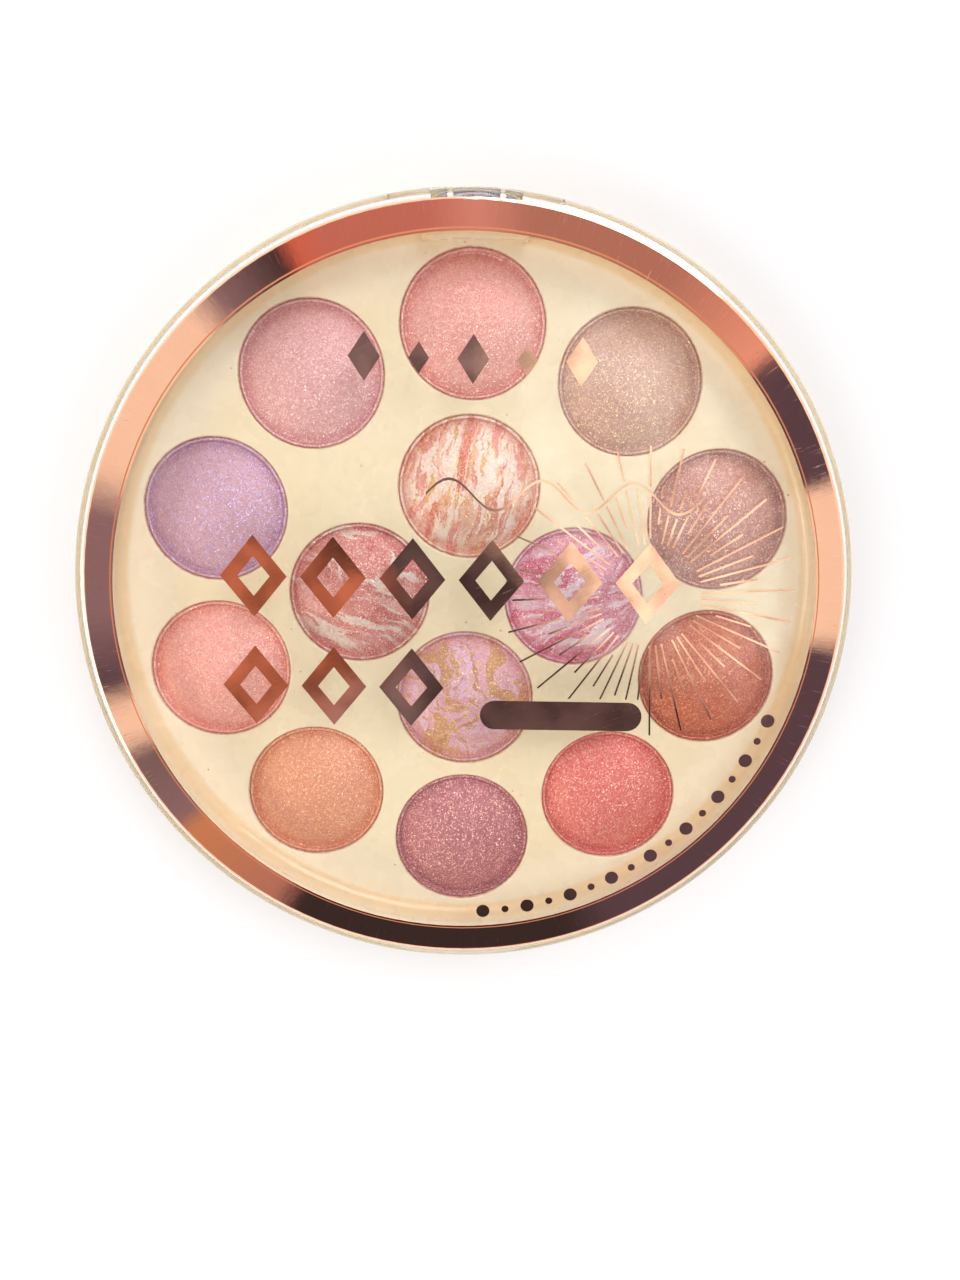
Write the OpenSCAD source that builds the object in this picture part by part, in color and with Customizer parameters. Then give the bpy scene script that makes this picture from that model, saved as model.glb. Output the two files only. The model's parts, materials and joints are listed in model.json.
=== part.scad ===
// Round eyeshadow palette: a cream base with fourteen domed powders under a clear hinged lid.
// Millimetres, +Z up. The origin is the centre of the underside, the hinge is at +Y and the catch at -Y.

/* [Case] */
// Outer diameter of the closed case
case_d = 144; // [140:1:150]
// Height of the base up to the line where the lid meets it
base_h = 8.6; // [8.2:0.1:9]
// Height of the closed case over the raised window
case_h = 17; // [16.5:0.1:18]
// Thickness of the base shell's floor
floor_t = 1.6; // [1.2:0.1:1.8]
// Height of the tray's deck above the table
deck_z = 6; // [5.8:0.1:6.4]

/* [Lid] */
// Thickness of the lid's top at the window
lid_t = 1.6; // [1.2:0.1:2]
// Thickness of the lid's skirt
skirt_t = 1.4; // [1.2:0.1:1.6]
// Radius of the raised window
window_r = 64.75; // [60:0.25:65]
// Height of the window above the band round it
window_step = 0.35; // [0.2:0.05:0.5]
// Radius of the rounded shoulder of the lid
shoulder_r = 2.6; // [2:0.1:3]

/* [Pans] */
// Diameter of the metal pans
pan_d = 26; // [24:0.5:26]
// Diameter of the holes in the deck
hole_d = 26.8; // [26.6:0.1:27.2]
// Number of pans in the outer circle
outer_count = 10; // [6:1:10]
// Radius of the outer circle of pan centres
outer_ring_r = 50.3; // [49:0.1:51]
// Number of pans in the inner circle
inner_count = 4; // [3:1:4]
// Radius of the inner circle of pan centres
inner_ring_r = 20.76; // [20:0.01:21]
// Depth of a pan
pan_depth = 3.2; // [2.8:0.1:3.2]
// Thickness of a pan's sheet metal
pan_t = 0.3; // [0.2:0.05:0.4]
// Height of a powder's dome above the deck
dome_rise = 1.9; // [1:0.1:2.5]

/* [Hinge] */
// Diameter of the hinge pin
pin_d = 1; // [0.8:0.1:1.2]
// Radius of the knuckles
knuckle_r = 1.5; // [1.3:0.1:1.5]
// Width of the middle knuckle
middle_knuckle_w = 8; // [7:0.1:8]
// Width of each side knuckle
side_knuckle_w = 2.8; // [2.4:0.1:2.8]
// Width of the slot between two knuckles, where a lug of the base stands
lug_slot_w = 1; // [0.9:0.1:1]
// Half the width of the whole hinge block
block_half_w = 9.4; // [9.4:0.1:10]

/* [Foil] */
// Thickness of the foil on the lid
foil_t = 0.06; // [0.04:0.01:0.1]
// Number of rays in the sunburst
ray_count = 56; // [32:4:56]
// Reach of the longest rays from the burst's centre
ray_reach = 27; // [22:1:28]
// Width of the large diamonds
diamond_w = 12; // [10:0.5:13]
// Height of the large diamonds
diamond_h = 15; // [12:0.5:15]
// Width of the diamonds' outline
diamond_line = 2.4; // [1.6:0.1:3]
// Distance from one large diamond to the next
diamond_pitch = 14.4; // [13.5:0.1:14.4]

/* [Hidden] */
pan_names_outer = [for (k = [1 : outer_count]) str("pan_outer_", k)];
pan_names_inner = [for (k = [1 : inner_count]) str("pan_inner_", k)];
powder_names_outer = [for (k = [1 : outer_count]) str("powder_outer_", k)];
powder_names_inner = [for (k = [1 : inner_count]) str("powder_inner_", k)];

$fn = 96;
eps = 0.01;
case_r = case_d / 2;

// Heights
band_z = case_h - window_step;
ceiling_z = case_h - lid_t;
seam_gap = 0.2;
skirt_z = base_h + seam_gap;
lip_top_z = base_h + 1.2;
tray_rim_z = base_h + 0.9;
well_floor_t = 0.6;
well_floor_z = floor_t + well_floor_t;
glue_t = 0.1;
pan_z = well_floor_z + glue_t;
pan_rim_z = pan_z + pan_depth;

// Radii of the walls, from the outside in
skirt_r = case_r - skirt_t;
lip_r = skirt_r - 0.3;
lip_t = 1.1;
lip_inner_r = lip_r - lip_t;
wall_inner_r = case_r - 1.8;
tray_r = lip_inner_r - 0.1;
tray_wall_t = 1.2;
tray_inner_r = tray_r - tray_wall_t;
deck_t = 1.2;
cove_r = 3;
wall_draft = 0.3;
deck_edge_r = tray_inner_r - wall_draft - cove_r;
band_r = window_r + window_step;
shoulder_start_r = case_r - shoulder_r;
edge_cut = 0.2;

// Wells and pans
hole_r = hole_d / 2;
hole_round = 0.45;
well_wall_t = 0.8;
pan_r = pan_d / 2;

// Posts under the deck that locate the tray in the base
post_count = 5;
post_circle_r = 60;
post_r = 1.6;
post_fit = 0.05;
socket_r = 2.5;
socket_floor_z = deck_z - deck_t - 0.4;

// Hinge
hinge_y = case_r - knuckle_r;
hinge_z = base_h + seam_gap / 2;
bore_fit = 0.05;
slot_fit = 0.15;
pocket_r = knuckle_r + 0.3;
rail_r = 2.6;
relief_r = rail_r + 0.4;
rail_half_w = 14.6;
relief_half_w = 15.1;
knuckles_half_w = middle_knuckle_w / 2 + lug_slot_w + side_knuckle_w;
pin_half_l = knuckles_half_w + slot_fit + 1.4;
web_back = 0.3;
lug_x = (middle_knuckle_w + lug_slot_w) / 2;
side_knuckle_x = knuckles_half_w - side_knuckle_w / 2;
ledge_front_y = 64.5;
ledge_half_w = block_half_w + 0.1;
block_front_y = 66.3;

// Foil shapes on the window
foil_colour = [0.72, 0.45, 0.36];
burst_x = 33.5;
burst_y = 2.4;
ray_start = 9.5;
ray_late_start = 13;
ray_half_line = 0.17;
row_x = -39;
row_y = 4.5;
pill_x = 18;
pill_y = -21;
pill_l = 25;
pill_w = 5.6;
lower_row_y = -15.9;
small_row_y = 43.4;
wave_x = -8;
wave_y = 20;
wave_l = 50;
wave_h = 5.5;
wave_line = 0.5;
dot_circle_r = 61.3;
dot_step = 4.1;

// Catch at the front
catch_half_angle = 5;
bead_h = 0.12;
bead_root = 0.1;
thumb_half_w = 12.5;
thumb_y = -70.6;
thumb_z = 3.8;

// Recess for the label in the underside
label_r = 30;
label_depth = 0.3;

function on_circle(count, r, k) = let(a = 90 + 360 / count * k) [r * cos(a), r * sin(a)];
outer_places = [for (k = [0 : outer_count - 1]) on_circle(outer_count, outer_ring_r, k)];
inner_places = [for (k = [0 : inner_count - 1]) on_circle(inner_count, inner_ring_r, k)];
places = concat(outer_places, inner_places);
// The posts stand midway between two outer pans
post_places = [for (k = [0 : post_count - 1])
    let(a = 90 + 180 / outer_count + 360 / post_count * k) [post_circle_r * cos(a), post_circle_r * sin(a)]];

// A cylinder along X, centred on the hinge axis
module along_hinge(r, length, x = 0) {
    translate([x, hinge_y, hinge_z]) rotate([0, 90, 0]) cylinder(r = r, h = length, center = true);
}

// A box that spans the given width about X = 0
module wide_box(half_w, y0, y1, z0, z1) {
    translate([-half_w, y0, z0]) cube([2 * half_w, y1 - y0, z1 - z0]);
}

// The slots of the base where the lid's three knuckles turn
module knuckle_pockets() {
    for (part = [[0, middle_knuckle_w], [-side_knuckle_x, side_knuckle_w], [side_knuckle_x, side_knuckle_w]]) {
        along_hinge(pocket_r, part[1] + 2 * slot_fit, part[0]);
        translate([part[0] - part[1] / 2 - slot_fit, hinge_y - pocket_r, hinge_z])
            cube([part[1] + 2 * slot_fit, 2 * pocket_r + 1, 4]);
    }
}

// Section of the base shell: floor, rounded foot, wall and the lip that registers inside the lid
module base_profile() {
    foot_r = 1;
    translate([case_r - foot_r, foot_r]) circle(r = foot_r);
    polygon([[0, 0], [case_r - foot_r, 0], [case_r - foot_r, foot_r], [case_r, foot_r],
             [case_r, base_h - edge_cut], [case_r - edge_cut, base_h], [lip_r, base_h],
             [lip_r, lip_top_z - edge_cut], [lip_r - edge_cut, lip_top_z],
             [lip_inner_r, lip_top_z], [lip_inner_r, base_h - 1.6], [wall_inner_r, base_h - 2.6],
             [wall_inner_r, floor_t + 0.8], [wall_inner_r - 0.8, floor_t], [0, floor_t]]);
}

// The raised rail on each side of the hinge, kept inside the case's outline and outside the tray
module hinge_rail() {
    intersection() {
        along_hinge(rail_r, 2 * rail_half_w);
        difference() {
            cylinder(r = case_r, h = case_h, $fn = 180);
            translate([0, 0, -eps]) cylinder(r = lip_inner_r, h = case_h + 1, $fn = 180);
        }
    }
}

module hinge_block() {
    intersection() {
        wide_box(block_half_w, block_front_y, case_r, floor_t - eps, base_h);
        cylinder(r = case_r, h = case_h, $fn = 180);
    }
}

module base_shell() {
    color([0.93, 0.86, 0.72]) difference() {
        union() {
            difference() {
                rotate_extrude($fn = 180) base_profile();
                wide_box(relief_half_w, block_front_y, case_r + 1, base_h, case_h);
                wide_box(thumb_half_w, -case_r - 1, thumb_y, thumb_z, base_h + eps);
            }
            hinge_block();
            hinge_rail();
            for (side = [-1, 1]) along_hinge(knuckle_r, lug_slot_w - 2 * slot_fit, side * lug_x);
            for (p = post_places) translate([p[0], p[1], floor_t - eps])
                cylinder(r = post_r, h = socket_floor_z - floor_t);
            catch_bead(lip_r - bead_root, lip_r + bead_h, base_h + 0.75);
        }
        knuckle_pockets();
        along_hinge(pin_d / 2, 2 * pin_half_l);
        // The pin is pressed in from the +X side through this bore
        translate([pin_half_l, hinge_y, hinge_z]) rotate([0, 90, 0]) cylinder(d = pin_d, h = case_r);
        // The shallow recess in the underside for the label
        translate([0, 0, -eps]) cylinder(r = label_r, h = label_depth + eps);
    }
}

// One short bead of the catch, a small half-round rib along the front
module catch_bead(r_in, r_out, z) {
    rotate([0, 0, 270 - catch_half_angle]) rotate_extrude(angle = 2 * catch_half_angle, $fn = 180)
        polygon([[r_in, z - 0.2], [r_out, z - 0.1], [r_out, z + 0.1], [r_in, z + 0.2]]);
}

// Section of the tray: the flat deck, the concave cove at its edge and the upturned rim
module tray_profile() {
    cove_z = deck_z + cove_r;
    under_z = deck_z - deck_t;
    difference() {
        polygon([[0, under_z], [tray_r, under_z], [tray_r, tray_rim_z - edge_cut],
                 [tray_r - edge_cut, tray_rim_z], [tray_inner_r + edge_cut, tray_rim_z],
                 [tray_inner_r, tray_rim_z - edge_cut], [deck_edge_r + cove_r, cove_z], [0, cove_z]]);
        translate([-eps, deck_z]) square([deck_edge_r + eps, 2 * cove_r]);
        translate([deck_edge_r, cove_z]) circle(r = cove_r);
    }
}

// The rounded lip of a deck hole, as the ring of material that is cut away
module hole_lip_cut() {
    translate([0, 0, deck_z - hole_round]) rotate_extrude($fn = 96) difference() {
        translate([hole_r - eps, 0]) square([hole_round + eps, hole_round + eps]);
        translate([hole_r + hole_round, 0]) circle(r = hole_round, $fn = 48);
    }
}

module well() {
    translate([0, 0, floor_t]) cylinder(r = hole_r + well_wall_t, h = deck_z - deck_t - floor_t + eps);
}

module deck_tray() {
    color([0.94, 0.87, 0.73]) difference() {
        union() {
            difference() {
                rotate_extrude($fn = 180) tray_profile();
                wide_box(ledge_half_w, ledge_front_y, case_r, floor_t, case_h);
            }
            intersection() {
                wide_box(ledge_half_w, ledge_front_y, block_front_y - 0.1, deck_z - deck_t, tray_rim_z);
                cylinder(r = tray_r, h = case_h, $fn = 180);
            }
            for (p = places) translate([p[0], p[1], 0]) well();
            for (p = post_places) translate([p[0], p[1], socket_floor_z - 2])
                cylinder(r = socket_r, h = deck_z - deck_t - socket_floor_z + 2 + eps);
        }
        for (p = places) translate([p[0], p[1], 0]) {
            translate([0, 0, well_floor_z]) cylinder(r = hole_r, h = deck_z);
            hole_lip_cut();
        }
        for (p = post_places) translate([p[0], p[1], floor_t])
            cylinder(r = post_r + post_fit, h = socket_floor_z - floor_t);
    }
}

// Outer shape of the lid in section, thickened outwards by grow
module lid_outline(grow = 0) {
    shoulder_z = band_z - shoulder_r;
    polygon([[0, skirt_z], [case_r + grow - edge_cut, skirt_z], [case_r + grow, skirt_z + edge_cut],
             [case_r + grow, shoulder_z], [0, shoulder_z]]);
    translate([0, skirt_z]) square([shoulder_start_r, band_z + grow - skirt_z]);
    translate([shoulder_start_r, shoulder_z]) circle(r = shoulder_r + grow);
    polygon([[0, shoulder_z], [band_r, shoulder_z], [band_r, band_z + grow],
             [window_r, case_h + grow], [0, case_h + grow]]);
}

module lid_profile() {
    fillet_r = 1.2;
    hollow_z = skirt_z - 1;
    difference() {
        lid_outline();
        translate([-eps, hollow_z]) square([skirt_r + eps, ceiling_z - fillet_r - hollow_z]);
        translate([-eps, hollow_z]) square([skirt_r - fillet_r + eps, ceiling_z - hollow_z]);
        translate([skirt_r - fillet_r, ceiling_z - fillet_r]) circle(r = fillet_r);
    }
}

module knuckle(x, w) {
    along_hinge(knuckle_r, w, x);
    translate([x - w / 2, hinge_y - knuckle_r, hinge_z])
        cube([w, knuckle_r + web_back, ceiling_z - hinge_z + eps]);
}

module lid() {
    color([0.9, 0.93, 0.95, 0.35]) difference() {
        union() {
            difference() {
                rotate_extrude($fn = 180) lid_profile();
                along_hinge(relief_r, 2 * relief_half_w);
            }
            knuckle(0, middle_knuckle_w);
            for (side = [-1, 1]) knuckle(side * side_knuckle_x, side_knuckle_w);
            catch_bead(skirt_r + bead_root, skirt_r - bead_h, skirt_z + 0.2);
        }
        along_hinge(pin_d / 2 + bore_fit, 2 * knuckles_half_w + 1);
    }
}

// The band of foil lies on the lid from just inside the window's step to a little way down the shoulder
module foil_ring() {
    inner_r = window_r - 0.35;
    edge_angle = 81;
    reach = 2 * shoulder_r;
    color(foil_colour) rotate_extrude($fn = 180) intersection() {
        difference() {
            lid_outline(foil_t);
            lid_outline();
        }
        translate([0, band_z - shoulder_r]) polygon([[inner_r, 0], [shoulder_start_r, 0],
            [shoulder_start_r + reach * cos(edge_angle), reach * sin(edge_angle)],
            [inner_r, reach * sin(edge_angle)]]);
    }
}

// Plain evenly spaced rays, every second one shorter and every fourth one set further out
module rays() {
    translate([burst_x, burst_y]) for (k = [0 : ray_count - 1]) {
        from = k % 4 == 1 ? ray_late_start : ray_start;
        to = k % 2 == 0 ? ray_reach : ray_reach - 7;
        rotate(360 / ray_count * (k + 0.5))
            translate([from, -ray_half_line]) square([to - from, 2 * ray_half_line]);
    }
}

// The rays stop short of the other shapes by the gap
module foil_sunburst() {
    gap = 0.6;
    color(foil_colour) translate([0, 0, case_h]) linear_extrude(foil_t) difference() {
        rays();
        for (k = [3 : 5]) diamond_frame(row_x + diamond_pitch * k, row_y, gap);
        pill(pill_x, pill_y, pill_l, pill_w + 2 * gap);
        wave(wave_line + 2 * gap);
    }
}

// A diamond with its centre at the given place
module diamond(x, y, w, h) {
    translate([x, y]) polygon([[-w / 2, 0], [0, -h / 2], [w / 2, 0], [0, h / 2]]);
}

// A diamond outline of even width. With a gap it is the whole diamond, that much larger on each side
module diamond_frame(x, y, gap = 0) {
    centre_to_side = diamond_w * diamond_h / (2 * sqrt(diamond_w ^ 2 + diamond_h ^ 2));
    outer = 1 + gap / centre_to_side;
    inner = 1 - diamond_line / centre_to_side;
    difference() {
        diamond(x, y, diamond_w * outer, diamond_h * outer);
        if (gap == 0) diamond(x, y, diamond_w * inner, diamond_h * inner);
    }
}

// A bar with round ends along X, centred on the given place
module pill(x, y, l, w) {
    translate([x - l / 2, y]) circle(d = w);
    translate([x + l / 2, y]) circle(d = w);
    translate([x - l / 2, y - w / 2]) square([l, w]);
}

// A thin wave along X
module wave(line) {
    waves = 3;
    steps = 16 * waves;
    function at(i, side) =
        [wave_x + wave_l * i / steps, wave_y + wave_h / 2 * sin(360 * waves * i / steps) + side];
    polygon(concat([for (i = [0 : steps]) at(i, -line / 2)], [for (i = [steps : -1 : 0]) at(i, line / 2)]));
}

// Generic foil shapes: rows of diamonds, a bar, a wave and an arc of dots
module foil_ornaments() {
    small_pitch = 9.5;
    color(foil_colour) translate([0, 0, case_h]) linear_extrude(foil_t) {
        for (k = [0 : 5]) diamond_frame(row_x + diamond_pitch * k, row_y);
        for (k = [0 : 2]) diamond_frame(row_x + diamond_pitch * k, lower_row_y);
        for (k = [-2 : 2]) diamond(small_pitch * k, small_row_y, k % 2 == 0 ? 5.6 : 3.6, k % 2 == 0 ? 8.4 : 5.4);
        pill(pill_x, pill_y, pill_l, pill_w);
        wave(wave_line);
        for (k = [0 : 16]) rotate(dot_step * k - 86) translate([dot_circle_r, 0])
            circle(d = k % 2 == 0 ? 2.6 : 1.4, $fn = 36);
    }
}

module hinge_pin() {
    color([0.75, 0.75, 0.77]) along_hinge(pin_d / 2, 2 * pin_half_l);
}

module glue_dots() {
    color([0.95, 0.93, 0.86]) for (p = places) translate([p[0], p[1], well_floor_z])
        cylinder(r = 8, h = glue_t);
}

module pan(place) {
    color([0.8, 0.8, 0.82]) translate([place[0], place[1], pan_z]) difference() {
        cylinder(r = pan_r, h = pan_depth);
        translate([0, 0, pan_t]) cylinder(r = pan_r - pan_t, h = pan_depth);
    }
}

// A pressed powder: it fills the pan and laps over its rim, has a groove round its edge and rises to a dome
module powder(place, colour) {
    powder_r = pan_r - pan_t;
    lap_r = pan_r + 0.1;
    lap_z = pan_rim_z + 0.12;
    floor_z = pan_z + pan_t;
    groove_r = powder_r - 0.4;
    groove_z = pan_rim_z - 0.55;
    rise = deck_z + dome_rise - groove_z;
    dome_r = (groove_r ^ 2 + rise ^ 2) / (2 * rise);
    color(colour) translate([place[0], place[1], 0]) rotate_extrude() {
        polygon([[0, floor_z], [powder_r, floor_z], [powder_r, pan_rim_z], [lap_r, pan_rim_z],
                 [lap_r, lap_z], [powder_r - 0.05, lap_z], [groove_r, groove_z], [0, groove_z]]);
        intersection() {
            translate([0, groove_z + rise - dome_r]) circle(r = dome_r, $fn = 360);
            translate([0, groove_z - eps]) square([groove_r, rise + 1]);
        }
    }
}

outer_colours = [[0.84, 0.52, 0.52], [0.82, 0.52, 0.54], [0.68, 0.54, 0.62], [0.86, 0.52, 0.5],
                 [0.88, 0.62, 0.5], [0.6, 0.4, 0.45], [0.84, 0.42, 0.4], [0.62, 0.34, 0.26],
                 [0.6, 0.42, 0.4], [0.7, 0.54, 0.5]];
inner_colours = [[0.9, 0.66, 0.6], [0.82, 0.56, 0.52], [0.8, 0.62, 0.62], [0.86, 0.6, 0.66]];

base_shell();
deck_tray();
lid();
foil_ring();
foil_sunburst();
foil_ornaments();
hinge_pin();
glue_dots();
for (k = [0 : outer_count - 1]) pan(outer_places[k]);
for (k = [0 : inner_count - 1]) pan(inner_places[k]);
for (k = [0 : outer_count - 1])
    powder(outer_places[k], outer_colours[k]);
for (k = [0 : inner_count - 1])
    powder(inner_places[k], inner_colours[k]);
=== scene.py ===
"""Round eyeshadow palette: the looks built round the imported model.

Lengths in this script are in millimetres in the object's frame, and MM turns them into metres.
"""

import json
import math

import bmesh
import bpy
import numpy as np
from mathutils import Matrix, Vector


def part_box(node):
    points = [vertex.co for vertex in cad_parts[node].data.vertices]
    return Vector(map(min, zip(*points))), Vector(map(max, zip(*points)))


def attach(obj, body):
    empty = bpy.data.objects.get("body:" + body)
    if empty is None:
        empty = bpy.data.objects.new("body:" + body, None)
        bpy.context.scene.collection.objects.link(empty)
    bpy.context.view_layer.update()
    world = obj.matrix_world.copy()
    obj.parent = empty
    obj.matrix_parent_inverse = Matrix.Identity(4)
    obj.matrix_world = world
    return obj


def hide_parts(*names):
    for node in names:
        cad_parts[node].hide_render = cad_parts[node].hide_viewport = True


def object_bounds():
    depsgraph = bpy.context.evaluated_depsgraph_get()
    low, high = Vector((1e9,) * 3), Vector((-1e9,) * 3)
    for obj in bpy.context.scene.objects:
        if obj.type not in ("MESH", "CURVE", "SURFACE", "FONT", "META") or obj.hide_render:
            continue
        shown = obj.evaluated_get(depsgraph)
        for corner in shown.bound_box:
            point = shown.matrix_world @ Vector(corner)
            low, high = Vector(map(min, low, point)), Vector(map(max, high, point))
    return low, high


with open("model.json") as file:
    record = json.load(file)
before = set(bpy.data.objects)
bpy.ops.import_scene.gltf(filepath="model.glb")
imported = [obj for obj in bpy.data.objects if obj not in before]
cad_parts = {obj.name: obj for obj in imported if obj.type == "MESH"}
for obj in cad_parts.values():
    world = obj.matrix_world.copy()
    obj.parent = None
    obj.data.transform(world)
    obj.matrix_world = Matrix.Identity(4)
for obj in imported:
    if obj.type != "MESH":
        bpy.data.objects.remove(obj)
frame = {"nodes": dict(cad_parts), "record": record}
cad_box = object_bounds()
MM = 0.001


# ---------------------------------------------------------------- node trees


class Nodes:
    """One node tree. Each call adds a node, and a socket given as an input is linked."""

    def __init__(self, owner):
        owner.use_nodes = True
        self.tree = owner.node_tree
        self.tree.nodes.clear()

    def add(self, kind, inputs=None, **settings):
        node = self.tree.nodes.new("ShaderNode" + kind)
        for key, value in settings.items():
            setattr(node, key, value)
        for key, value in (inputs or {}).items():
            if isinstance(value, bpy.types.NodeSocket):
                self.tree.links.new(value, node.inputs[key])
            else:
                node.inputs[key].default_value = value
        return node

    def math(self, operation, a, b=0.0):
        return self.add("Math", {0: a, 1: b}, operation=operation).outputs[0]

    def vector(self, operation, a, b=(0, 0, 0)):
        return self.add("VectorMath", {0: a, 1: b}, operation=operation).outputs[0]

    def length(self, a):
        return self.add("VectorMath", {0: a}, operation="LENGTH").outputs["Value"]

    def scaled(self, a, by):
        return self.add("VectorMath", {0: a, "Scale": by}, operation="SCALE").outputs[0]

    def split(self, a):
        return self.add("SeparateXYZ", {0: a}).outputs

    def joined(self, x, y, z=0.0):
        return self.add("CombineXYZ", {0: x, 1: y, 2: z}).outputs[0]

    def step(self, value, low, high, to_low=0.0, to_high=1.0):
        """Goes smoothly from to_low to to_high as value goes from low to high."""
        inputs = {"Value": value, "From Min": low, "From Max": high, "To Min": to_low, "To Max": to_high}
        return self.add("MapRange", inputs, interpolation_type="SMOOTHSTEP").outputs[0]

    def noise(self, at, scale, detail=2.0, roughness=0.5, distortion=0.0):
        inputs = {"Vector": at, "Scale": scale, "Detail": detail, "Roughness": roughness}
        inputs["Distortion"] = distortion
        return self.add("TexNoise", inputs).outputs["Fac"]

    def noise_vector(self, at, scale, detail=2.0):
        """A noise whose three parts are each from about -0.5 to 0.5."""
        colour = self.add("TexNoise", {"Vector": at, "Scale": scale, "Detail": detail}).outputs["Color"]
        return self.vector("SUBTRACT", colour, (0.5, 0.5, 0.5))

    def cells(self, at, size):
        """Small cells of the given size: the distance to the middle of each, and its random colour."""
        node = self.add("TexVoronoi", {"Vector": at, "Scale": 1 / size})
        return node.outputs["Distance"], node.outputs["Color"]

    def mix(self, share, a, b, blend="MIX"):
        inputs = {0: share, 6: rgba(a), 7: rgba(b)}
        return self.add("Mix", inputs, data_type="RGBA", blend_type=blend).outputs[2]

    def ramp(self, value, stops, interpolation="LINEAR"):
        node = self.add("ValToRGB", {0: value})
        node.color_ramp.interpolation = interpolation
        points = node.color_ramp.elements
        while len(points) < len(stops):
            points.new(1.0)
        for point, (place, colour) in zip(points, stops):
            point.position = place
            point.color = rgba(colour)
        return node.outputs["Color"]

    def bump(self, height, distance, normal=None, strength=1.0):
        """A bump whose height of 1 stands for distance, in millimetres."""
        inputs = {"Height": height, "Distance": distance * MM, "Strength": strength}
        if normal is not None:
            inputs["Normal"] = normal
        return self.add("Bump", inputs).outputs["Normal"]

    def place(self):
        """Where a point is in the object's frame, in millimetres."""
        return self.scaled(self.add("TexCoord").outputs["Object"], 1 / MM)

    def surface(self, **inputs):
        """A Principled shader on the material's output. Underscores stand for spaces in the inputs' names."""
        named = {key.replace("_", " "): value for key, value in inputs.items()}
        self.output(self.add("BsdfPrincipled", named).outputs[0])

    def output(self, shader):
        self.add("OutputMaterial", {"Surface": shader})


def rgba(colour):
    """A colour with its alpha, whether it came as a socket, three numbers or four."""
    if isinstance(colour, bpy.types.NodeSocket) or len(colour) == 4:
        return colour
    return (*colour, 1.0)


def srgb(r, g, b):
    """A linear colour from the 0 to 255 values of a screen colour."""
    return tuple(c / 3294.6 if c <= 10.3 else ((c / 255 + 0.055) / 1.055) ** 2.4 for c in (r, g, b))


def new_material(name):
    material = bpy.data.materials.new(name)
    return material, Nodes(material)


# ---------------------------------------------------------------- where the pans are

OUTER_COUNT = 10
INNER_COUNT = 4


def pan_centre(name):
    """The middle of a pan in X and Y, in millimetres, from its node's box."""
    low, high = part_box("pan_" + name)
    middle = (low + high) / 2 / MM
    return middle.x, middle.y


pan_names = [f"outer_{k}" for k in range(1, OUTER_COUNT + 1)]
pan_names += [f"inner_{k}" for k in range(1, INNER_COUNT + 1)]
centres = {name: pan_centre(name) for name in pan_names}
outer_circle_r = math.hypot(*centres["outer_1"])
inner_circle_r = math.hypot(*centres["inner_1"])
case_r = cad_box[1].x / MM
window_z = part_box("lid")[1].z / MM
HOLE_R = 13.4


# ---------------------------------------------------------------- materials


def from_nearest_pan(n, at):
    """How far a point of the deck is from the middle of the nearest pan, in millimetres."""
    x, y, _ = n.split(at)
    radius = n.length(n.joined(x, y))
    angle = n.math("ARCTAN2", x, y)
    distances = []
    for count, circle_r in ((OUTER_COUNT, outer_circle_r), (INNER_COUNT, inner_circle_r)):
        turn = 2 * math.pi / count
        folded = n.math("WRAP", angle, turn / 2)
        folded.node.inputs[2].default_value = -turn / 2
        side = n.math("MULTIPLY", radius, n.math("SINE", folded))
        out = n.math("SUBTRACT", n.math("MULTIPLY", radius, n.math("COSINE", folded)), circle_r)
        distances.append(n.length(n.joined(side, out)))
    return n.math("MINIMUM", *distances)


CREAM = srgb(247, 230, 194)
CREAM_DEEP = srgb(243, 220, 178)
CREAM_PAINTED_LIGHT = srgb(255, 238, 204)
CREAM_PAINTED_GLOW = srgb(252, 212, 150)
SPECK_BROWN = srgb(190, 116, 88)


def cream_plastic(name, dusty_with_painted_light):
    """Glossy moulded cream plastic. With dusty_with_painted_light set it has powder specks on it, most of
    them round the pans, a brown ring round each hole, painted light in a band next to the wall and a painted
    warm glow in the cove.
    """
    material, n = new_material(name)
    at = n.place()
    colour = n.mix(n.noise(at, 0.05, detail=3), CREAM, CREAM_DEEP)
    mottle = n.noise(at, 1.6, detail=4, roughness=0.7)
    colour = n.mix(n.step(mottle, 0.5, 0.8, 0, 0.06), colour, CREAM_DEEP)
    roughness = n.step(n.noise(at, 0.2, detail=3), 0.3, 0.7, 0.24, 0.31)
    if dusty_with_painted_light:
        from_middle = n.length(n.joined(*n.split(at)[:2]))
        # Painted light: the deck is lighter towards the wall, to make up for the shade under the foil ring
        colour = n.mix(n.step(from_middle, 54, 62), colour, CREAM_PAINTED_LIGHT)
        # Painted glow: a warm orange tint where the deck turns up into the wall, standing in for light
        # bounced there
        cove_glow = n.math("MULTIPLY", n.step(from_middle, 64.4, 65.6), n.step(from_middle, 66.6, 67.8, 0.7, 0))
        colour = n.mix(cove_glow, colour, CREAM_PAINTED_GLOW)
        # A brown ring round the edge of each hole, in blotches
        near = n.step(from_nearest_pan(n, at), HOLE_R + 0.02, HOLE_R + 0.35, 1, 0)
        blotches = n.step(n.noise(at, 1.2, detail=3), 0.3, 0.75, 0.45, 0.85)
        colour = n.mix(n.math("MULTIPLY", near, blotches), colour, SPECK_BROWN)
        spread = n.step(from_nearest_pan(n, at), HOLE_R, HOLE_R + 5, 0.93, 0.985)
        for size in (0.8, 1.7):
            distance, random = n.cells(at, size)
            lone = n.math("GREATER_THAN", n.split(random)[0], spread)
            speck = n.math("MULTIPLY", lone, n.step(distance, 0.06, 0.17, 0.75, 0))
            colour = n.mix(speck, colour, SPECK_BROWN)
            roughness = n.math("MAXIMUM", roughness, n.math("MULTIPLY", speck, 0.7))
    ripples = n.bump(n.noise(at, 0.12, detail=1), 0.01)
    grain = n.bump(n.noise(at, 3.5, detail=2), 0.0002, normal=ripples)
    n.surface(Base_Color=colour, Roughness=roughness, Normal=grain, IOR=1.5, Coat_Weight=0.25,
              Coat_Roughness=0.08)
    return material


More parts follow.
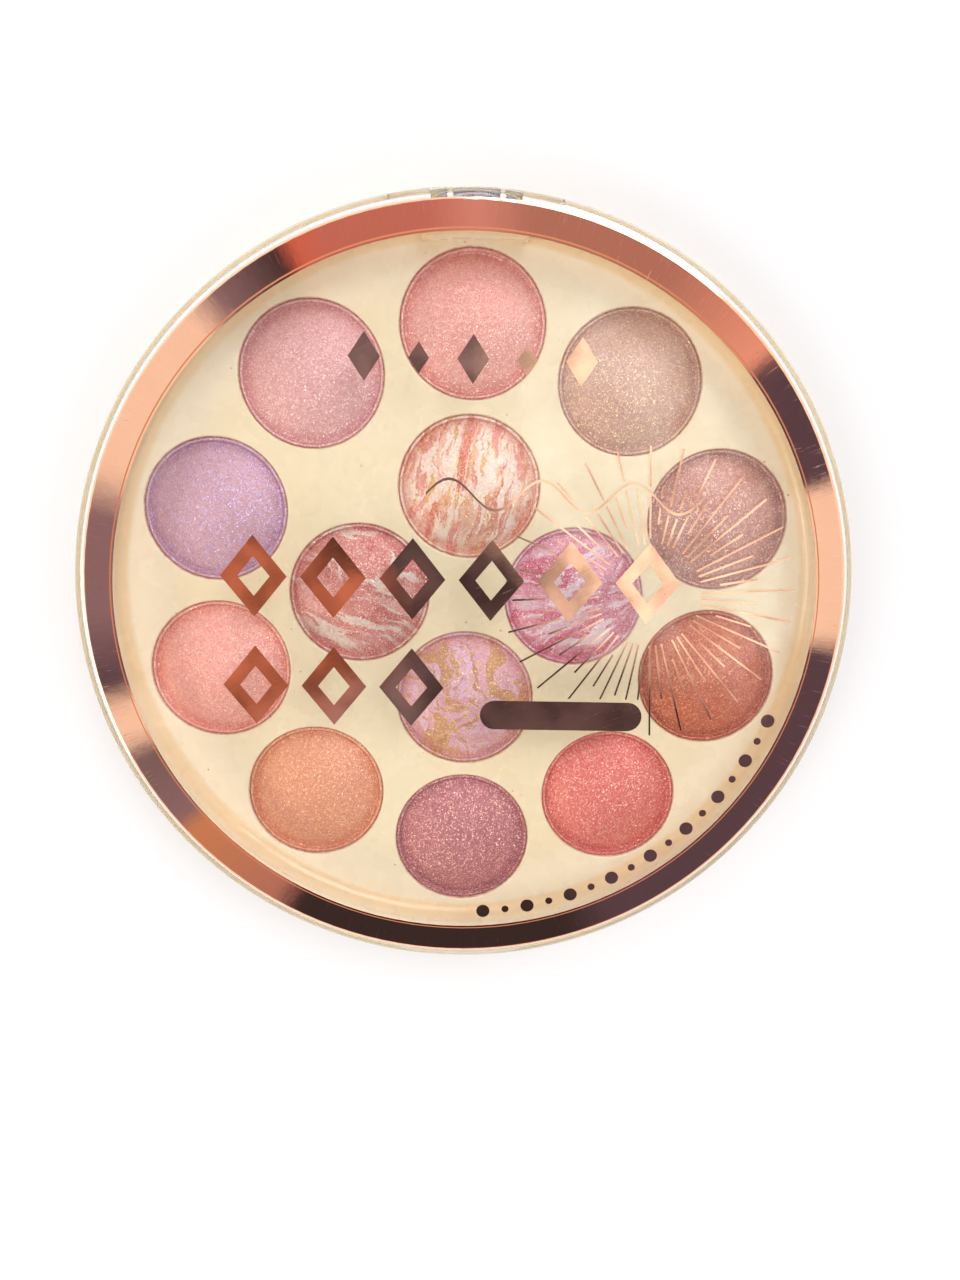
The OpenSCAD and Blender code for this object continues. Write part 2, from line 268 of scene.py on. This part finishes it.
def clear_plastic():
    """Clear polished plastic with faint scratches and moulding ripples. Light passes through it unbent on
    its way to what it lights, so that the deck isn't in the lid's shadow."""
    material, n = new_material("clear_plastic")
    at = n.place()
    scratches = None
    for turn, seed in ((0.5, 3.0), (1.9, 11.0), (2.7, 23.0)):
        turned = n.add("VectorRotate", {"Vector": at, "Angle": turn}, rotation_type="Z_AXIS").outputs[0]
        x, y, z = n.split(n.vector("ADD", turned, (seed, seed, 0)))
        long = n.joined(n.math("MULTIPLY", x, 0.05), y, n.math("MULTIPLY", z, 0.05))
        line = n.step(n.noise(long, 2.2, detail=3, roughness=0.8), 0.66, 0.72)
        scratches = line if scratches is None else n.math("MAXIMUM", scratches, line)
    ripples = n.bump(n.noise(at, 0.06, detail=1), 0.06)
    normal = n.bump(scratches, 0.0015, normal=ripples)
    roughness = n.math("MULTIPLY_ADD", scratches, 0.12)
    roughness.node.inputs[2].default_value = 0.015
    inputs = {"Base Color": rgba(srgb(250, 252, 252)), "Roughness": roughness, "IOR": 1.49}
    inputs.update({"Transmission Weight": 1.0, "Normal": normal})
    glass = n.add("BsdfPrincipled", inputs).outputs[0]
    open_to_lamps = n.add("BsdfTransparent", {"Color": (0.97, 0.975, 0.975, 1)}).outputs[0]
    shadow_ray = n.add("LightPath").outputs["Is Shadow Ray"]
    n.output(n.add("MixShader", {0: shadow_ray, 1: glass, 2: open_to_lamps}).outputs[0])
    return material


FOIL_TINT = srgb(252, 194, 158)


def foil(name, lines_at):
    """Rose-gold hot-stamped foil: a mirror with fine hairlines, pin holes and a slight orange peel. lines_at
    turns a place into one with the hairlines along Y."""
    material, n = new_material(name)
    at = n.place()
    x, y, z = n.split(lines_at(n, at))
    hairlines = n.noise(n.joined(x, n.math("MULTIPLY", y, 0.06), z), 3.0, detail=4, roughness=0.75)
    clouds = n.noise(at, 0.12, detail=4, roughness=0.6)
    distance, random = n.cells(at, 0.9)
    lone = n.math("GREATER_THAN", n.split(random)[1], 0.93)
    pits = n.math("MULTIPLY", lone, n.step(distance, 0.04, 0.13, 1, 0))
    colour = n.mix(clouds, FOIL_TINT, srgb(248, 184, 148))
    colour = n.mix(n.step(hairlines, 0.5, 0.75, 0, 0.4), colour, srgb(255, 216, 190))
    colour = n.mix(n.math("MULTIPLY", pits, 0.8), colour, srgb(110, 74, 66))
    roughness = n.step(clouds, 0.3, 0.7, 0.02, 0.05)
    roughness = n.math("ADD", roughness, n.step(hairlines, 0.56, 0.78, 0, 0.2))
    peel = n.bump(n.noise(at, 0.35, detail=2), 0.004)
    fine = n.bump(n.math("SUBTRACT", hairlines, pits), 0.0008, normal=peel)
    n.surface(Base_Color=colour, Metallic=1.0, Roughness=roughness, Normal=fine)
    return material


def lines_across(n, at):
    """The foil on the window is brushed straight across."""
    return n.add("VectorRotate", {"Vector": at, "Angle": 1.1}, rotation_type="Z_AXIS").outputs[0]


def lines_outward(n, at):
    """The foil of the ring is brushed outward from the middle."""
    x, y, _ = n.split(at)
    round_rim = n.math("MULTIPLY", n.math("ARCTAN2", y, x), case_r)
    return n.joined(round_rim, n.length(n.joined(x, y)))


def bare_metal(name, light, dark, line_scale, roughness_range):
    """Pressed or drawn metal with fine lines round Z."""
    material, n = new_material(name)
    at = n.place()
    x, y, z = n.split(at)
    lines = n.noise(n.joined(n.math("MULTIPLY", x, 0.1), n.math("MULTIPLY", y, 0.1), z), line_scale, detail=4)
    stain = n.noise(at, 0.4, detail=3)
    colour = n.mix(stain, light, dark)
    roughness = n.step(lines, 0.3, 0.7, *roughness_range)
    n.surface(Base_Color=colour, Metallic=1.0, Roughness=roughness, Normal=n.bump(lines, 0.01))
    return material


def dried_glue():
    """Pale adhesive, a little cloudy, with small bubbles."""
    material, n = new_material("dried_glue")
    at = n.place()
    distance, _ = n.cells(at, 0.9)
    bubbles = n.step(distance, 0.1, 0.3, 1, 0)
    colour = n.mix(n.noise(at, 0.5, detail=3), srgb(240, 236, 222), srgb(222, 212, 186))
    n.surface(Base_Color=colour, Roughness=n.step(bubbles, 0, 1, 0.35, 0.6), Normal=n.bump(bubbles, 0.05))
    return material


# ---------------------------------------------------------------- powders

# Each look has its pigment's main colour, the deeper one of its clouds and of the dome's foot and groove,
# where it is partly painted shade, the pale one of its grains and the colour of its glitter, with the size of
# the glitter's flakes where it isn't the usual one.
LOOKS = {
    "outer_1": dict(main=(240, 163, 154), deep=(208, 112, 102),
                    pale=(255, 214, 202), shine=(255, 226, 196)),
    "outer_2": dict(main=(227, 168, 164), deep=(198, 118, 118),
                    pale=(246, 206, 200), shine=(255, 224, 210)),
    "outer_3": dict(main=(213, 166, 169), deep=(174, 120, 134),
                    pale=(228, 196, 214), shine=(214, 200, 246)),
    "outer_4": dict(main=(250, 171, 161), deep=(214, 112, 98),
                    pale=(252, 202, 182), shine=(255, 220, 190)),
    "outer_5": dict(main=(230, 152, 122), deep=(204, 112, 84),
                    pale=(250, 196, 156), shine=(255, 214, 160)),
    "outer_6": dict(main=(190, 116, 120), deep=(148, 76, 84),
                    pale=(222, 160, 166), shine=(255, 208, 186), flake=0.2),
    "outer_7": dict(main=(231, 118, 111), deep=(190, 72, 66),
                    pale=(250, 166, 160), shine=(255, 204, 176), flake=0.2),
    "outer_8": dict(main=(203, 104, 71), deep=(150, 72, 56),
                    pale=(222, 150, 128), shine=(246, 176, 140)),
    "outer_9": dict(main=(200, 133, 118), deep=(150, 92, 80),
                    pale=(230, 190, 172), shine=(255, 220, 196)),
    "outer_10": dict(main=(204, 157, 141), deep=(176, 122, 104),
                     pale=(240, 206, 188), shine=(255, 226, 172)),
    "inner_1": dict(main=(216, 144, 131), deep=(204, 100, 90),
                    pale=(246, 190, 172), shine=(250, 214, 150)),
    "inner_2": dict(main=(222, 142, 132), deep=(184, 96, 88),
                    pale=(236, 178, 170), shine=(255, 216, 200)),
    "inner_3": dict(main=(230, 171, 192), deep=(196, 116, 112),
                    pale=(240, 200, 222), shine=(246, 214, 140)),
    "inner_4": dict(main=(234, 192, 206), deep=(198, 84, 104),
                    pale=(240, 196, 202), shine=(255, 226, 226)),
}
# The marbled powders: the way their streaks run, in degrees from Y, how strongly they wind, and each kind
# of streak with its colour, its width and length in millimetres, and how much of the ground it leaves.
MARBLED = {
    "inner_1": dict(turn=-14, winding=1.3, streaks=[
        ((242, 198, 174), 2.6, 9, 0.5), ((214, 108, 92), 1.3, 7, 0.56), ((238, 154, 150), 1.8, 8, 0.55),
        ((252, 240, 226), 1.5, 7, 0.51), ((252, 240, 226), 0.7, 5, 0.55), ((222, 168, 92), 0.45, 5, 0.61)]),
    "inner_2": dict(turn=62, winding=2.2, streaks=[
        ((206, 112, 104), 2.2, 8, 0.56), ((234, 176, 168), 1.2, 6, 0.58), ((242, 234, 216), 2.1, 12, 0.55),
        ((242, 232, 216), 0.8, 8, 0.585), ((150, 128, 112), 0.25, 0.3, 0.7)]),
    "inner_3": dict(turn=40, winding=4.5, streaks=[
        ((236, 192, 222), 3.0, 5, 0.52), ((204, 150, 84), 2.6, 6, 0.54), ((192, 134, 66), 1.0, 2, 0.6),
        ((216, 170, 112), 0.5, 1, 0.6)]),
    "inner_4": dict(turn=-62, winding=2.2, streaks=[
        ((230, 146, 164), 2.4, 9, 0.45), ((214, 84, 112), 1.8, 10, 0.54), ((206, 70, 78), 0.8, 6, 0.62),
        ((246, 228, 230), 0.9, 6, 0.56)]),
}
DOME_R = 12.3
GLITTER = 0.18


def marbling(n, at, ground, turn, winding, streaks):
    """Streaks of colour over the ground colour, bent and frayed as pressed marbled powder is."""
    bend = n.scaled(n.noise_vector(at, 0.11, detail=1), 4 * winding)
    fray = n.scaled(n.noise_vector(at, 1.3, detail=4), 1.1)
    inputs = {"Vector": n.vector("ADD", n.vector("ADD", at, bend), fray), "Angle": math.radians(-turn)}
    x, y, _ = n.split(n.add("VectorRotate", inputs, rotation_type="Z_AXIS").outputs[0])
    colour = ground
    for layer, (tint, width, long, low) in enumerate(streaks):
        spot = n.joined(n.math("DIVIDE", x, width), n.math("DIVIDE", y, long), 7.3 * layer)
        streak = n.step(n.noise(spot, 0.55, detail=3, roughness=0.6), low - 0.015, low + 0.015)
        colour = n.mix(n.math("MULTIPLY", streak, 0.92), colour, srgb(*tint))
    return colour


def powder_material(name, centre, main, deep, pale, shine, flake=0.19):
    """Pressed shimmer powder: a satin ground of tiny flakes with larger ones that each lean their own way.
    flake is the size of the larger ones, and GLITTER how many of them shine."""
    material, n = new_material("powder_" + name)
    at = n.vector("SUBTRACT", n.place(), (*centre, 0))
    x, y, _ = n.split(at)
    radius = n.length(n.joined(x, y))
    seed = sum(centre)
    at = n.vector("ADD", at, (seed, seed, 0))
    main_colour, deep_colour, pale_colour, shine_colour = (srgb(*c) for c in (main, deep, pale, shine))
    if name in MARBLED:
        main_colour = marbling(n, at, main_colour, **MARBLED[name])

    # Pigment: soft clouds of the deeper colour, and grains paler than the rest
    mottle = n.noise(at, 1.1, detail=5, roughness=0.75)
    colour = n.mix(n.step(mottle, 0.38, 0.58, 0.3, 0), main_colour, deep_colour)
    _, ground_random = n.cells(at, 0.12)
    tone, shade, _ = n.split(ground_random)
    colour = n.mix(n.step(tone, 0.55, 1.0, 0, 0.4), colour, pale_colour)
    colour = n.mix(n.step(shade, 0.65, 1.0, 0, 0.35), colour, deep_colour)

    # The foot of the dome and the groove are deeper in colour, partly the powder's own and partly painted
    # shade in the groove, with crumbs lying in the groove
    deep_foot_and_groove_shade = n.step(radius, DOME_R - 2.2, DOME_R, 0, 0.6)
    lip = n.step(radius, DOME_R + 0.35, DOME_R + 0.7, 1, 0.3)
    wobble = n.step(n.noise(at, 0.8, detail=3), 0.25, 0.7, 0.6, 1.0)
    colour = n.mix(n.math("MULTIPLY", n.math("MULTIPLY", deep_foot_and_groove_shade, lip), wobble), colour, deep_colour)
    _, flake_random = n.cells(at, flake)
    _, kind, crumb = n.split(flake_random)
    crumbs = n.math("MULTIPLY", n.step(radius, DOME_R - 0.5, DOME_R), n.math("GREATER_THAN", crumb, 0.86))
    colour = n.mix(n.math("MULTIPLY", crumbs, 0.7), colour, pale_colour)

    flakes = n.math("POWER", kind, 1 / GLITTER)
    colour = n.mix(flakes, colour, shine_colour)
    lean = n.scaled(n.vector("SUBTRACT", ground_random, (0.5, 0.5, 0.5)), 0.42)
    steep = n.scaled(n.vector("SUBTRACT", flake_random, (0.5, 0.5, 0.5)), n.math("MULTIPLY", flakes, 0.8))
    surface_normal = n.add("NewGeometry").outputs["Normal"]
    normal = n.vector("ADD", surface_normal, n.vector("ADD", lean, steep))
    relief = n.noise(at, 1.9, detail=4, roughness=0.6, distortion=0.9)
    normal = n.bump(relief, 0.1, normal=n.vector("NORMALIZE", normal))
    metallic = n.step(flakes, 0, 1, 0.3, 0.85)
    roughness = n.step(flakes, 0, 1, 0.42, 0.26)
    n.surface(Base_Color=colour, Metallic=metallic, Roughness=roughness, Normal=normal,
              Specular_IOR_Level=0.25)
    return material


def turned_faces(ring_count, turns):
    """The faces of a turned solid: a point on the axis, rings of points from it outward and back, and a
    last point on the axis."""
    faces = [(0, 1 + k, 1 + (k + 1) % turns) for k in range(turns)]
    for ring in range(ring_count - 1):
        here, there = 1 + ring * turns, 1 + (ring + 1) * turns
        for k in range(turns):
            following = (k + 1) % turns
            faces.append((here + k, there + k, there + following, here + following))
    last = 1 + (ring_count - 1) * turns
    faces += [(last + turns, last + (k + 1) % turns, last + k) for k in range(turns)]
    return faces


def powder_mesh(name, centre):
    """The pressed powder as a fine mesh: a domed top with soft unevenness, a groove, a worn rim and a
    skirt."""
    low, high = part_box("powder_" + name)
    floor_z, top_z = low.z / MM, high.z / MM
    lap_r = (high.x - low.x) / 2 / MM
    inner_r = lap_r - 0.4
    groove_r = DOME_R
    pan_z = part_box("pan_" + name)[1].z / MM
    lap_z = pan_z + 0.12
    groove_z = pan_z - 0.55
    rise = top_z - groove_z
    dome_r = (groove_r**2 + rise**2) / (2 * rise)
    rings, turns = 84, 168
    profile = [(groove_r * math.sin(math.pi / 2 * k / rings), None) for k in range(1, rings + 1)]
    profile += [(groove_r + 0.12, groove_z + 0.03), (groove_r + 0.25, groove_z + 0.2)]
    profile += [(groove_r + 0.38, lap_z - 0.16), (groove_r + 0.52, lap_z - 0.03), (groove_r + 0.66, lap_z)]
    profile += [(lap_r, lap_z - 0.03), (HOLE_R - 0.06, lap_z - 0.16), (HOLE_R - 0.04, lap_z - 0.3)]
    profile += [(lap_r, pan_z - 0.3), (lap_r, pan_z), (inner_r, pan_z), (inner_r, floor_z)]
    generator = np.random.default_rng(sum(map(ord, name)))
    full_turn = 2 * math.pi
    waves = [(generator.uniform(0.2, 1.4), generator.uniform(0, full_turn), generator.uniform(0, full_turn))
             for _ in range(14)]

    def uneven(x, y):
        """A gentle unevenness from crossed waves, within one either way."""
        total = sum(math.sin(f * (x * math.cos(a) + y * math.sin(a)) + p) / (1 + f) for f, a, p in waves)
        return total / 5

    points = [(0.0, 0.0, top_z - 0.02)]
    for r, z in profile:
        for k in range(turns):
            angle = 2 * math.pi * k / turns
            ragged = generator.normal(0, 0.012) if z is None or z > pan_z else 0.0
            x, y = r * math.cos(angle), r * math.sin(angle)
            if z is None:
                height = groove_z + rise - dome_r + math.sqrt(dome_r**2 - r**2)
                height += 0.035 * (uneven(x, y) - 0.7) + 0.4 * ragged
            else:
                crumbling = 0.05 * uneven(1.7 * x, 1.7 * y) if groove_r < r < lap_r and z > pan_z else 0.0
                height = z + min(0.0, crumbling) + ragged
            points.append((x, y, height))
    points.append((0.0, 0.0, floor_z))
    placed = [((x + centre[0]) * MM, (y + centre[1]) * MM, z * MM) for x, y, z in points]
    mesh = bpy.data.meshes.new("pressed_powder_" + name)
    mesh.from_pydata(placed, [], turned_faces(len(profile), turns))
    mesh.shade_smooth()
    mesh.validate()
    return mesh


def add_powders():
    """One finely meshed powder in the place of each of the part's."""
    for name in pan_names:
        piece = bpy.data.objects.new("pressed_powder_" + name, powder_mesh(name, centres[name]))
        bpy.context.scene.collection.objects.link(piece)
        piece.data.materials.append(powder_material(name, centres[name], **LOOKS[name]))
        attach(piece, "base")
        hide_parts("powder_" + name)


# ---------------------------------------------------------------- the lid

# The lid's section and hinge, as the part has them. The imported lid's mesh has steps that show as a saw's
# teeth in clear plastic, so the same lid is turned here in finer ones.
LID_T = 1.6
SKIRT_T = 1.4
SKIRT_Z = 8.8
SHOULDER_R = 2.6
FILLET_R = 1.2
WINDOW_R = 64.75
WINDOW_STEP = 0.35
EDGE_CUT = 0.2
BEAD_H = 0.12
BEAD_ROOT = 0.1
BEAD_Z = SKIRT_Z + 0.2
BEAD_HALF_ANGLE = math.radians(5)
KNUCKLE_R = 1.5
KNUCKLES = [(0, 8), (-6.4, 2.8), (6.4, 2.8)]  # the middle of each along X, and its width
WEB_BACK = 0.3
WEB_OVERLAP = 0.01
BORE_R = 0.55
BORE_HALF_W = 8.3
RELIEF_R = 3.0
RELIEF_HALF_W = 15.1


def arc(centre, radius, start, end, steps):
    """Points along an arc, from one angle to the other, in degrees."""
    angles = [math.radians(start + (end - start) * k / steps) for k in range(steps + 1)]
    return [(centre[0] + radius * math.cos(a), centre[1] + radius * math.sin(a)) for a in angles]


def circle(radius, steps):
    """Points round a circle about zero."""
    return arc((0, 0), radius, 0, 360, steps)[:-1]


def solid(points, faces):
    """A scratch object in millimetres, with its faces turned outward."""
    mesh = bpy.data.meshes.new("scratch")
    mesh.from_pydata(points, [], faces)
    shape = bmesh.new()
    shape.from_mesh(mesh)
    bmesh.ops.recalc_face_normals(shape, faces=shape.faces)
    shape.to_mesh(mesh)
    shape.free()
    holder = bpy.data.objects.new("scratch", mesh)
    bpy.context.scene.collection.objects.link(holder)
    return holder


def prism(outlines):
    """A closed solid through a row of outlines that have equally many points."""
    size = len(outlines[0])
    faces = [tuple(range(size)), tuple(len(outlines) * size - 1 - k for k in range(size))]
    for row in range(len(outlines) - 1):
        for k in range(size):
            here, following = row * size + k, row * size + (k + 1) % size
            faces.append((here, following, following + size, here + size))
    return solid([point for outline in outlines for point in outline], faces)


def along_hinge(outline, middle, width, hinge):
    """A solid along X with the given outline in Y and Z about the hinge."""
    ends = (middle - width / 2, middle + width / 2)
    return prism([[(x, hinge.y + y, hinge.z + z) for y, z in outline] for x in ends])


def combine(base, tool, operation):
    """Joins a scratch solid to another or cuts it away, and removes it."""
    change = base.modifiers.new("combine", "BOOLEAN")
    change.operation, change.solver, change.object = operation, "EXACT", tool
    bpy.context.view_layer.update()
    result = bpy.data.meshes.new_from_object(base.evaluated_get(bpy.context.evaluated_depsgraph_get()))
    base.modifiers.clear()
    base.data = result
    bpy.data.objects.remove(tool)


def turned_lid():
    """The round part of the lid. A narrow ring beside each arc keeps the flats next to it truly flat. The
    steps start a part of one round, so that none lines up with an end of the catch bead or the hinge."""
    turns = 720
    start = 0.3
    beside = 0.05
    skirt_r = case_r - SKIRT_T
    band_z = window_z - WINDOW_STEP
    ceiling_z = window_z - LID_T
    shoulder = (case_r - SHOULDER_R, band_z - SHOULDER_R)
    fillet = (skirt_r - FILLET_R, ceiling_z - FILLET_R)
    profile = [(WINDOW_R, window_z), (WINDOW_R + WINDOW_STEP, band_z), (shoulder[0] - beside, band_z)]
    profile += arc(shoulder, SHOULDER_R, 90, 0, 26)
    profile += [(case_r, shoulder[1] - beside), (case_r, SKIRT_Z + EDGE_CUT), (case_r - EDGE_CUT, SKIRT_Z)]
    profile += [(skirt_r, SKIRT_Z), (skirt_r, fillet[1] - beside)]
    profile += arc(fillet, FILLET_R, 0, 90, 20)
    profile += [(fillet[0] - beside, ceiling_z)]
    around = [2 * math.pi * (k + start) / turns for k in range(turns)]
    points = [(0, 0, window_z)]
    points += [(r * math.cos(a), r * math.sin(a), z) for r, z in profile for a in around]
    points += [(0, 0, ceiling_z)]
    return solid(points, turned_faces(len(profile), turns))


def catch_bead():
    """The small rib inside the front of the skirt."""
    root_r = case_r - SKIRT_T + BEAD_ROOT
    crest_r = case_r - SKIRT_T - BEAD_H
    section = [(root_r, BEAD_Z - 0.2), (crest_r, BEAD_Z - 0.1),
               (crest_r, BEAD_Z + 0.1), (root_r, BEAD_Z + 0.2)]
    half_steps = 10
    angles = [-math.pi / 2 + BEAD_HALF_ANGLE * k / half_steps for k in range(-half_steps, half_steps + 1)]
    return prism([[(r * math.cos(a), r * math.sin(a), z) for r, z in section] for a in angles])


def add_lid():
    """The turned lid with the room for the hinge cut out, the knuckles, the catch bead and the pin's bore."""
    hinge = Vector(frame["record"]["behaviour"]["joints"][0]["pos_m"]) / MM
    lid = turned_lid()
    combine(lid, along_hinge(circle(RELIEF_R, 120), 0, 2 * RELIEF_HALF_W, hinge), "DIFFERENCE")
    web_top = window_z - LID_T + WEB_OVERLAP - hinge.z
    web_foot = math.degrees(math.acos(WEB_BACK / KNUCKLE_R))
    knuckle = [(WEB_BACK, web_top)] + arc((0, 0), KNUCKLE_R, web_foot, -180, 64) + [(-KNUCKLE_R, web_top)]
    for middle, width in KNUCKLES:
        combine(lid, along_hinge(knuckle, middle, width, hinge), "UNION")
    combine(lid, catch_bead(), "UNION")
    combine(lid, along_hinge(circle(BORE_R, 60), 0, 2 * BORE_HALF_W, hinge), "DIFFERENCE")
    lid.name = lid.data.name = "clear_lid"
    lid.data.transform(Matrix.Scale(MM, 4))
    lid.data.shade_smooth()
    lid.data.set_sharp_from_angle(angle=math.radians(30))
    lid.data.materials.append(clear_plastic())
    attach(lid, "lid")
    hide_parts("lid")


# ---------------------------------------------------------------- CAD nodes


def dress(node, material):
    """Gives one of the part's own nodes its material."""
    mesh = frame["nodes"][node].data
    mesh.materials.clear()
    mesh.materials.append(material)


def dress_cad_nodes():
    """The materials of the nodes that keep their own shape."""
    dress("base_shell", cream_plastic("cream_base", dusty_with_painted_light=False))
    dress("deck_tray", cream_plastic("cream_tray", dusty_with_painted_light=True))
    dress("foil_ring", foil("rose_gold_ring", lines_outward))
    printed = foil("rose_gold_print", lines_across)
    for node in ("foil_sunburst", "foil_ornaments"):
        dress(node, printed)
    dress("hinge_pin", bare_metal("drawn_steel", srgb(205, 205, 210), srgb(170, 170, 178), 6.0, (0.2, 0.4)))
    aluminium = bare_metal("pressed_aluminium", srgb(225, 225, 228), srgb(205, 203, 204), 4.0, (0.25, 0.45))
    for name in pan_names:
        dress("pan_" + name, aluminium)
    dress("glue_dots", dried_glue())


# ---------------------------------------------------------------- studio

WORLD_STRENGTH = 1.04
eye = Vector((-3.44, 31.06, 192.29)) * MM


def in_foil(r, g, b):
    """What the foil must mirror to look like this screen colour."""
    return tuple(part / tint / WORLD_STRENGTH for part, tint in zip(srgb(r, g, b), FOIL_TINT))


def studio_world():
    """A pale studio whose ceiling isn't plain: it has coloured zones for the flat foil to mirror. A mirror at
    the height of the lid shows the eye one place of the ceiling at each of its points, so the ceiling is
    drawn by that point. The zones are right for this one camera, and slide on the foil from anywhere else."""
    world = bpy.data.worlds.new("studio")
    bpy.context.scene.world = world
    n = Nodes(world)
    x, y, z = n.split(n.add("TexCoord").outputs["Generated"])
    up = n.math("MAXIMUM", z, 0.05)
    reach = eye.z / MM - window_z
    mirror_x = n.math("MULTIPLY_ADD", n.math("DIVIDE", x, up), reach)
    mirror_x.node.inputs[2].default_value = eye.x / MM
    mirror_y = n.math("MULTIPLY_ADD", n.math("DIVIDE", y, up), reach)
    mirror_y.node.inputs[2].default_value = eye.y / MM
    at = n.joined(mirror_x, mirror_y)
    radius = n.length(at)
    share = n.math("DIVIDE", n.math("ARCTAN2", mirror_y, mirror_x), 2 * math.pi)
    share = n.math("FRACT", n.math("ADD", share, 1.0))

    # What the foil shows this camera, by angle in degrees counterclockwise from +X: on its ring, and on the
    # print inside it
    peach, copper, mauve, plum = (253, 197, 162), (180, 112, 92), (142, 102, 100), (90, 64, 68)
    soot, rust, amber, taupe = (58, 42, 38), (214, 98, 74), (205, 126, 82), (122, 92, 86)
    bronze = (80, 56, 52)
    rim = [(0, peach), (19, peach), (21, plum), (40, plum), (42, (238, 148, 118)), (60, copper), (82, copper),
           (90, (216, 132, 114)), (97, (196, 108, 90)), (112, (196, 106, 86)), (117, rust), (119, soot),
           (130, mauve), (135, peach), (160, peach), (167, mauve), (182, mauve), (194, plum), (198, peach),
           (203, peach), (206, taupe), (218, mauve), (221, amber), (238, copper), (242, soot), (288, soot),
           (296, plum), (353, plum), (356, peach), (360, peach)]
    rim = n.ramp(share, [(angle / 360, in_foil(*colour)) for angle, colour in rim])
    inside = [(0, peach), (70, peach), (90, taupe), (130, taupe), (150, soot), (168, (160, 84, 58)),
              (205, (160, 84, 58)), (230, taupe), (260, bronze), (335, bronze), (350, peach), (360, peach)]
    inside = n.ramp(share, [(angle / 360, in_foil(*colour)) for angle, colour in inside])
    inside = n.mix(n.step(radius, 8, 24), in_foil(*bronze), inside)
    patches = n.step(n.noise(at, 0.11, detail=2), 0.35, 0.68, 0.7, 1.7)
    inside = n.mix(1.0, inside, n.joined(patches, patches, patches), blend="MULTIPLY")
    ceiling = n.mix(n.step(radius, 56, 62), inside, rim)
    # The rest of the room by height: pale walls with a darker band, and a bright ceiling
    walls = n.ramp(z, [(0, (0.92, 0.9, 0.87)), (0.1, (0.88, 0.85, 0.8)), (0.3, (0.68, 0.65, 0.61)),
                       (0.45, (0.76, 0.73, 0.7)), (0.62, (1.2, 1.19, 1.17)), (1, (1.32, 1.31, 1.28))])
    colour = n.mix(n.step(radius, 80, 105), ceiling, walls)
    shader = n.add("Background", {"Color": colour, "Strength": WORLD_STRENGTH}).outputs[0]
    n.add("OutputWorld", {"Surface": shader})


def add_lamp(name, place, aim, size, watts, colour=(1, 1, 1)):
    """A soft square lamp. place and aim are in metres."""
    lamp = bpy.data.lights.new(name, "AREA")
    lamp.size, lamp.energy, lamp.color = size, watts, colour
    holder = bpy.data.objects.new(name, lamp)
    holder.location = place
    holder.rotation_euler = (Vector(aim) - Vector(place)).to_track_quat("-Z", "Y").to_euler()
    bpy.context.scene.collection.objects.link(holder)


def add_floor():
    """A plain white table."""
    half = 3.0
    mesh = bpy.data.meshes.new("floor")
    corners = [(-half, -half, 0), (half, -half, 0), (half, half, 0), (-half, half, 0)]
    mesh.from_pydata(corners, [], [(0, 1, 2, 3)])
    floor = bpy.data.objects.new("floor", mesh)
    just_below = 0.02 * MM
    floor.location.z = -just_below
    bpy.context.scene.collection.objects.link(floor)
    material, n = new_material("floor_white")
    n.surface(Base_Color=(0.87, 0.88, 0.89, 1), Roughness=0.9)
    mesh.materials.append(material)


def add_camera():
    """The camera stands nearly overhead, between the middle and the hinge, and is turned by a small roll."""
    camera = bpy.data.cameras.new("camera")
    camera.lens = 27.26
    camera.clip_start = 0.01
    holder = bpy.data.objects.new("camera", camera)
    aim = Vector((2.75, -8.98, 6.0)) * MM
    roll = math.radians(1.4)
    back = (eye - aim).normalized()
    right = Vector((-math.sin(roll), math.cos(roll), 0)).cross(back).normalized()
    up = back.cross(right)
    turn = Matrix((right, up, back)).transposed()
    holder.matrix_world = Matrix.Translation(eye) @ turn.to_4x4()
    bpy.context.scene.collection.objects.link(holder)
    bpy.context.scene.camera = holder


add_camera()
add_powders()
add_lid()
dress_cad_nodes()
add_floor()
studio_world()
add_lamp("key", (0.36, 0.75, 1.25), (0, 0, 0), 0.6, 4.8, (0.95, 0.96, 1.1))
add_lamp("warm_fill", (-1.0, -0.45, 1.1), (0, 0, 0), 0.5, 3.2, (1, 0.88, 0.74))
bpy.context.scene.view_settings.view_transform = "Standard"
bpy.context.scene.cycles.max_bounces = 20
bpy.context.scene.cycles.glossy_bounces = 12
bpy.context.scene.cycles.transmission_bounces = 16
bpy.context.scene.cycles.transparent_max_bounces = 16
